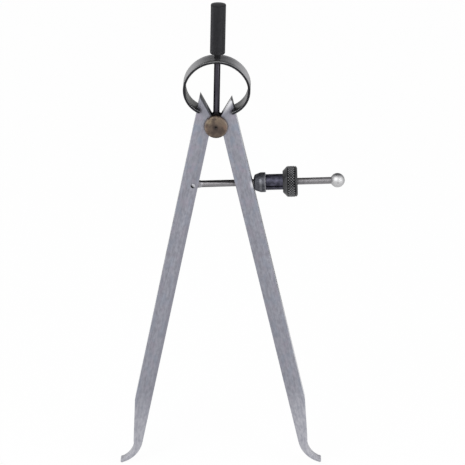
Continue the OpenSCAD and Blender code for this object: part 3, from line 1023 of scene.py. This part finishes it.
# one turn's outline is screwed up the Z axis and cut at both ends, and the CAD's eye is joined to it
def makeScrew():
    start, end = screw["neckEnd"], alongScrew("end_ball")[0]
    deselect()
    place = (screw["radius"] - screw["depth"] / 2, 0, start - screw["pitch"])
    bpy.ops.mesh.primitive_plane_add(size=screw["pitch"], location=place, rotation=(math.pi / 2, 0, 0))
    thread = named("screwThreaded")
    applyPlace()
    editAll()
    bpy.ops.transform.resize(value=(screw["depth"] / screw["pitch"], 1, 1), center_override=place)
    pick(thread, "EDGE", lambda corners: all(corner.x < place[0] for corner in corners))
    bpy.ops.mesh.delete(type="EDGE_FACE")
    pick(thread, "VERT", lambda corners: corners[0].x > place[0])
    bpy.ops.transform.resize(value=(1, 1, screw["crest"]), center_override=place)
    leaveEdit()
    turns = thread.modifiers.new("turns", "SCREW")
    turns.axis = "Z"
    turns.screw_offset = screw["pitch"]
    turns.iterations = math.ceil((end - start) / screw["pitch"]) + screw["spareTurns"]
    turns.steps = turns.render_steps = screw["sides"]
    turns.use_merge_vertices = True
    turns.merge_threshold = bench["merge"]
    bpy.ops.object.modifier_apply(modifier=turns.name)
    for height, keepAbove in ((start, True), (end, False)):
        editAll()
        bpy.ops.mesh.bisect(
            plane_co=(0, 0, height), plane_no=upAxis, use_fill=True,
            clear_inner=keepAbove, clear_outer=not keepAbove, threshold=bench["cut"],
        )
    closeMesh()
    layOnScrew(thread)
    eye = easedCopy("adjusting_screw", "screwEye", screw["easedEdge"])
    eyeEnd = pinPoint + screwLine * (start + screw["eyeOverlap"])
    editAll()
    bpy.ops.mesh.bisect(
        plane_co=eyeEnd, plane_no=screwLine, use_fill=True, clear_outer=True, threshold=bench["cut"],
    )
    pick(eye, "VERT", lambda corners: (corners[0] - pinPoint).dot(screwLine) > start)
    bpy.ops.transform.resize(value=[screw["eyeTaper"]] * 3, center_override=eyeEnd)
    leaveEdit()
    thread.select_set(True)
    bpy.context.view_layer.objects.active = thread
    bpy.ops.object.join()
    settleAndRide(thread, "adjusting_screw", makeScrewSteel())


makeScrew()
print("screw threaded")


# screw pin: painted light on its end: a painted highlight at its upper right and painted shade, black, at
# its lower left
pin = {
    "easedEdge": 0.00022,
    "light": paint(184, 184, 190),
    "dark": paint(30, 30, 33),
    "pinShadeWay": Vector((-0.7, 0, -0.7)),
    "pinShadeLimits": (-0.0002, 0.0005),
    "rough": 0.34,
}


def makePinSteel():
    steel = Finish("pinSteel")
    # painted shade towards the lower left, painted highlight towards the upper right
    pinShade = steel.ease(steel.dot(steel.offset(pinPoint), pin["pinShadeWay"]), *pin["pinShadeLimits"])
    return steel.set(
        Base_Color=steel.mix(pinShade, pin["light"], pin["dark"]),
        Roughness=pin["rough"],
        Metallic=1.0,
    )


settleAndRide(easedCopy("screw_pin", "pinRivet", pin["easedEdge"]), "screw_pin", makePinSteel())


# end ball: bright, with painted shade on its sides away from its front and back, and a faint darker spot at
# its front and back; limits are shares of its radius
ball = {
    "easedEdge": 0.0001,
    "light": paint(190, 190, 191),
    # painted shade on the ball's sides
    "rimShade": paint(140, 140, 142),
    "rimShadeLimits": (0.1, 0.62),
    "centreSpot": (paint(120, 120, 122), 0.35),
    "centreSpotLimits": (0.06, 0.22),
    "clouds": {"scale": 420, "low": 0.36, "high": 0.66},
    "cloudShare": 0.2,
    "rough": 0.5,
    "roughSpread": 0.06,
}


def makeBallBright():
    low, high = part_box("end_ball")
    bright = Finish("ballBright")
    spot = bright.offset((low + high) / 2)
    clouds = bright.clouds(spot, **ball["clouds"])
    # painted shade on the sides, away from the front and back
    rimShade = bright.fade(abs(bright.parts(spot)[1]), *sharesOf(high.y, ball["rimShadeLimits"]))
    tone = bright.mix(bright.patchy(rimShade, clouds, ball["cloudShare"]), ball["light"], ball["rimShade"])
    # a faint darker spot at the front and back
    centreSpot = bright.fade(bright.fromLine(spot, frontToBack), *sharesOf(high.y, ball["centreSpotLimits"]))
    return bright.set(
        Base_Color=bright.lay(tone, centreSpot, ball["centreSpot"]),
        Roughness=ball["rough"] + clouds * ball["roughSpread"],
        Metallic=1.0,
    )


settleAndRide(easedCopy("end_ball", "ballPolished", ball["easedEdge"]), "end_ball", makeBallBright())
print("pin and ball polished")


# thumb collar: a coarse diamond knurl between a plain cone and a rounded end, hollow for the jaws, with a
# painted highlight on the cone's front and back; shineFacing is in shares of its radius
collar = {
    "around": 34,
    "rows": 3,
    "knurlDepth": 0.00028,
    "knurlEdge": 0.00022,
    "knurlStep": 0.00002,
    "cone": 0.0018,
    "round": 0.0009,
    "roundSteps": 6,
    "faceRadius": 0.00426,
    "mouthRadius": 0.00365,
    "cavityRadius": 0.00475,
    "pocketRadius": 0.00502,
    "pocketDepth": 0.0012,
    "faceWall": 0.0017,
    "clouds": {"scale": 600, "detail": 4, "rough": 0.6, "low": 0.35, "high": 0.65},
    "cloudShare": 0.3,
    "rings": {"scale": (900, 3200, 0), "detail": 3, "rough": 0.6},
    "ridgeTop": 0.2,
    "plainFade": 0.0001,
    "coneShare": 0.24,
    # painted highlight on the cone's front and back
    "coneShine": 0.3,
    "shineFacing": (0.6, 0.85),
    "roundShare": 0.3,
    "ridge": paint(126, 126, 128),
    "root": paint(20, 20, 22),
    "rough": 0.36,
    "roughSpread": 0.14,
    "metallic": 0.95,
    "bump": (0.25, 0.00002),
}


def makeCollarBlack():
    low, high, radius = alongScrew("thumb_collar")
    coneEnd, rimEnd, fade = low + collar["cone"], high - collar["round"], collar["plainFade"]
    black = Finish("collarBlack")
    spot = black.offset(pinPoint)
    along, away = black.dot(spot, screwLine), black.fromLine(spot, screwLine)
    clouds = black.clouds(spot, **collar["clouds"])
    rings = black.noise((along, away, 0), **collar["rings"])
    cone = black.fade(along, coneEnd - fade, coneEnd)
    rounded = black.ease(along, rimEnd - fade, rimEnd + fade)
    # painted highlight on the cone where it faces front and back
    facing = black.ease(abs(black.parts(spot)[1]), *sharesOf(radius, collar["shineFacing"]))
    coneTone = collar["coneShare"] + facing * collar["coneShine"]
    ridges = black.ridges(away, radius, collar["knurlDepth"], collar["ridgeTop"])
    ridges = ridges * (1 - cone) * (1 - rounded)
    bright = black.highest(ridges, cone * coneTone, rounded * collar["roundShare"])
    bright = black.patchy(bright, clouds, collar["cloudShare"])
    colour = black.mix(bright, collar["root"], collar["ridge"])
    return black.surface(collar, colour, clouds, rings, collar["metallic"])


def makeCollar():
    low, high, radius = alongScrew("thumb_collar")
    inner = radius - collar["knurlDepth"]
    coneEnd, rimEnd = low + collar["cone"], high - collar["round"]
    knurlStart = coneEnd + collar["knurlStep"]
    pocketEnd, wallEnd = high - collar["pocketDepth"], low + collar["faceWall"]
    made = openCylinder("collarKnurled", collar["around"], inner, knurlStart, rimEnd)
    knurlSide(made, knurlStart, rimEnd, collar["rows"], collar["knurlEdge"], collar["knurlDepth"])
    pick(made, "EDGE", atHeight(rimEnd))
    lip = radius - collar["pocketRadius"]
    rounded = [
        (radius - lip * (1 - math.cos(turn)), rimEnd + collar["round"] * math.sin(turn))
        for turn in quarterTurns(collar["roundSteps"])
    ]
    growRing([(inner, rimEnd)] + rounded[1:] + [
        (collar["pocketRadius"], pocketEnd), (collar["cavityRadius"], pocketEnd),
        (collar["cavityRadius"], wallEnd), (collar["mouthRadius"], wallEnd), (collar["mouthRadius"], low),
        (collar["faceRadius"], low), (radius, coneEnd), (inner, knurlStart),
    ])
    closeMesh()
    layOnScrew(made)
    settleAndRide(made, "thumb_collar", makeCollarBlack())


makeCollar()
print("collar knurled")


# the nut's turned pieces: blackened cup, split jaws and closing ring, with fine rings around the screw; each
# has painted shade nearer to the screw than its hollow, and painted highlights on its outer corners and, on
# the cup, at the flange; cornerReach and shineFacing are shares of its radius
turned = {
    "easedSteps": 3,
    "flange": 0.002,
    "rings": {"scale": (4200, 2600, 0), "detail": 3, "rough": 0.6},
    "clouds": {"scale": 480, "detail": 3, "rough": 0.55, "low": 0.36, "high": 0.66},
    "ringShare": 0.5,
    "grainLimits": (0.3, 0.7),
    # painted highlights: on outer corners facing along the screw, and on the cup a ring where the flange
    # starts, at its front and back, and a band at the flange's end
    "cornerFacing": (0.25, 0.5),
    "cornerReach": (0.9, 0.95),
    "shineReach": (0.0002, 0.0007),
    "shineFacing": (0.6, 0.9),
    "shineShare": 0.24,
    "lipLimits": (0.0015, 0.0017),
    "lipShare": 0.4,
    "glint": (paint(170, 171, 176), 0.8),
    # painted shade inside the pieces, nearer to the screw than the hollow
    "hollow": paint(14, 14, 15),
    "hollowFade": 0.0001,
    "rough": 0.42,
    "roughSpread": 0.12,
    "metallic": 0.95,
    "bump": (0.35, 0.00003),
    "cup": {
        "light": paint(86, 87, 93), "deep": paint(58, 59, 64),
        "easedEdge": 0.0003, "radius": 0.00395, "hollow": 0.0016,
    },
    "jaw": {
        "light": paint(74, 73, 86), "deep": paint(50, 50, 60),
        "easedEdge": 0.00006, "radius": 0.00315, "hollow": 0.00305,
    },
    "ring": {
        "light": paint(76, 76, 79), "deep": paint(52, 52, 54),
        "easedEdge": 0.00035, "radius": 0.00502, "hollow": 0.0016,
    },
}


def makeTurned(name, plan, flangeStart):
    radius, hollow = plan["radius"], plan["hollow"]
    metal = Finish(name)
    spot = metal.offset(pinPoint)
    along, away = metal.dot(spot, screwLine), metal.fromLine(spot, screwLine)
    rings = metal.noise((along, away, 0), **turned["rings"])
    clouds = metal.clouds(spot, **turned["clouds"])
    grain = rings * turned["ringShare"] + clouds * (1 - turned["ringShare"])
    tone = metal.mix(metal.ease(grain, *turned["grainLimits"]), plan["deep"], plan["light"])
    # painted highlights on outer corners facing along the screw, and on the cup at the flange
    glint = metal.ease(metal.dot(metal.normal(), screwLine), *turned["cornerFacing"])
    glint = glint * metal.ease(away, *sharesOf(radius, turned["cornerReach"]))
    if flangeStart:
        shine = metal.fade(abs(along - flangeStart), *turned["shineReach"])
        facing = metal.ease(abs(metal.parts(spot)[1]), *sharesOf(radius, turned["shineFacing"]))
        lip = metal.ease(along, *(flangeStart + place for place in turned["lipLimits"]))
        glint = metal.highest(glint, shine * facing * turned["shineShare"], lip * turned["lipShare"])
    tone = metal.lay(tone, glint, turned["glint"])
    # painted shade inside, nearer to the screw than the hollow's radius
    hollowShade = metal.fade(away, hollow - turned["hollowFade"], hollow)
    return metal.surface(
        turned, metal.mix(hollowShade, tone, turned["hollow"]), clouds, rings, turned["metallic"],
    )


turnedPieces = [
    ("thrust_cup", "cupTurned", "cup"),
    ("upper_jaw", "jawUpperHalf", "jaw"),
    ("lower_jaw", "jawLowerHalf", "jaw"),
    ("collar_ring", "ringPlate", "ring"),
]
for nodeName, pieceName, kind in turnedPieces:
    plan = turned[kind]
    flangeStart = alongScrew(nodeName)[1] - turned["flange"] if kind == "cup" else None
    piece = easedCopy(nodeName, pieceName, plan["easedEdge"], turned["easedSteps"])
    settleAndRide(piece, nodeName, makeTurned(pieceName, plan, flangeStart))
print("nut turned")


# jaw spring: the CAD node itself, in bright wire
wireSteel = makeMetal("wireSteel", paint(150, 150, 154), paint(120, 120, 124), 0.3, (900, 900, 900))
springNode = frame["nodes"]["jaw_spring"]
springNode.data.materials.clear()
springNode.data.materials.append(wireSteel)


# studio: a pale floor under the toes, a pale sky that is dark high up behind, two softboxes, and black flags
# that only the metal mirrors
studio = {
    "floorSize": 8,
    "floorGap": 0.0001,
    "floorColour": (0.9, 0.9, 0.9, 1),
    "floorRough": 0.8,
    "white": (1, 1, 1, 1),
    "glow": 0.96,
    "skyPale": (0.95, 0.95, 0.95, 1),
    "skyDark": (0.03, 0.03, 0.032, 1),
    "darkWay": Vector((0, 0.6, 0.8)),
    "darkLimits": (0.66, 0.86),
    "lamps": [
        {"name": "keyBox", "place": (-0.7, -1.1, 0.9), "size": 0.9, "power": 14},
        {"name": "fillBox", "place": (1.0, -0.8, 0.4), "size": 0.9, "power": 7},
    ],
    "flagAboveFloor": 0.03,
    "flagColour": (0.01, 0.01, 0.01, 1),
    "flagRough": 0.9,
    "flags": [
        {"name": "leftFlag", "place": (-0.25, 0.29), "size": (0.4, 0.34)},
        {"name": "rightFlag", "place": (0.25, 0.29), "size": (0.4, 0.34)},
        {"name": "screwFlag", "place": (0.02, 0.25), "size": (0.1, 0.12)},
    ],
}


# the camera and mirroring metal see the floor as white, and it still takes the object's shadow
def makePaleFloor():
    pale = Finish("paleFloor")
    pale.set(Base_Color=studio["floorColour"], Roughness=studio["floorRough"])
    rays = pale.node("ShaderNodeLightPath").socket.node
    names = ("Is Camera Ray", "Is Glossy Ray", "Is Transmission Ray")
    shown = pale.highest(*(Wire(pale, rays.outputs[name]) for name in names))
    white = pale.node("ShaderNodeEmission", None, {"Color": studio["white"], "Strength": 1.0})
    surface = pale.node(
        "ShaderNodeMixShader", None,
        {0: shown * studio["glow"], 1: Wire(pale, pale.shader.outputs[0]), 2: white},
    )
    pale.plug(surface, pale.tree.nodes["Material Output"].inputs["Surface"])
    return pale.material


def addStudio():
    floorHeight = cadBox[0].z - studio["floorGap"]
    deselect()
    bpy.ops.mesh.primitive_plane_add(size=studio["floorSize"], location=(0, 0, floorHeight))
    floor = named("paleFloor")
    floor.data.materials.append(makePaleFloor())
    flagBlack = Finish("flagBlack").set(Base_Color=studio["flagColour"], Roughness=studio["flagRough"])
    for flag in studio["flags"]:
        deselect()
        place = (*flag["place"], floorHeight + studio["flagAboveFloor"])
        bpy.ops.mesh.primitive_plane_add(size=1, location=place)
        card = named(flag["name"])
        card.scale = (*flag["size"], 1)
        card.data.materials.append(flagBlack)
        card.visible_camera = card.visible_diffuse = card.visible_shadow = False
    for lamp in studio["lamps"]:
        bpy.ops.object.light_add(type="AREA", location=lamp["place"])
        light = bpy.context.object
        light.name = lamp["name"]
        light.data.size = lamp["size"]
        light.data.energy = lamp["power"]
        toward = studPoint - Vector(lamp["place"])
        light.rotation_euler = toward.to_track_quat("-Z", "Y").to_euler()
    world = bpy.data.worlds.new("softSky")
    world.use_nodes = True
    bpy.context.scene.world = world
    sky = Finish("softSky", world.node_tree)
    way = sky.dot(sky.node("ShaderNodeTexCoord", out="Generated"), studio["darkWay"])
    colour = sky.mix(sky.ease(way, *studio["darkLimits"]), studio["skyPale"], studio["skyDark"])
    sky.plug(colour, world.node_tree.nodes["Background"].inputs["Color"])


addStudio()
bpy.context.scene.view_settings.view_transform = "Standard"
print("studio lit")
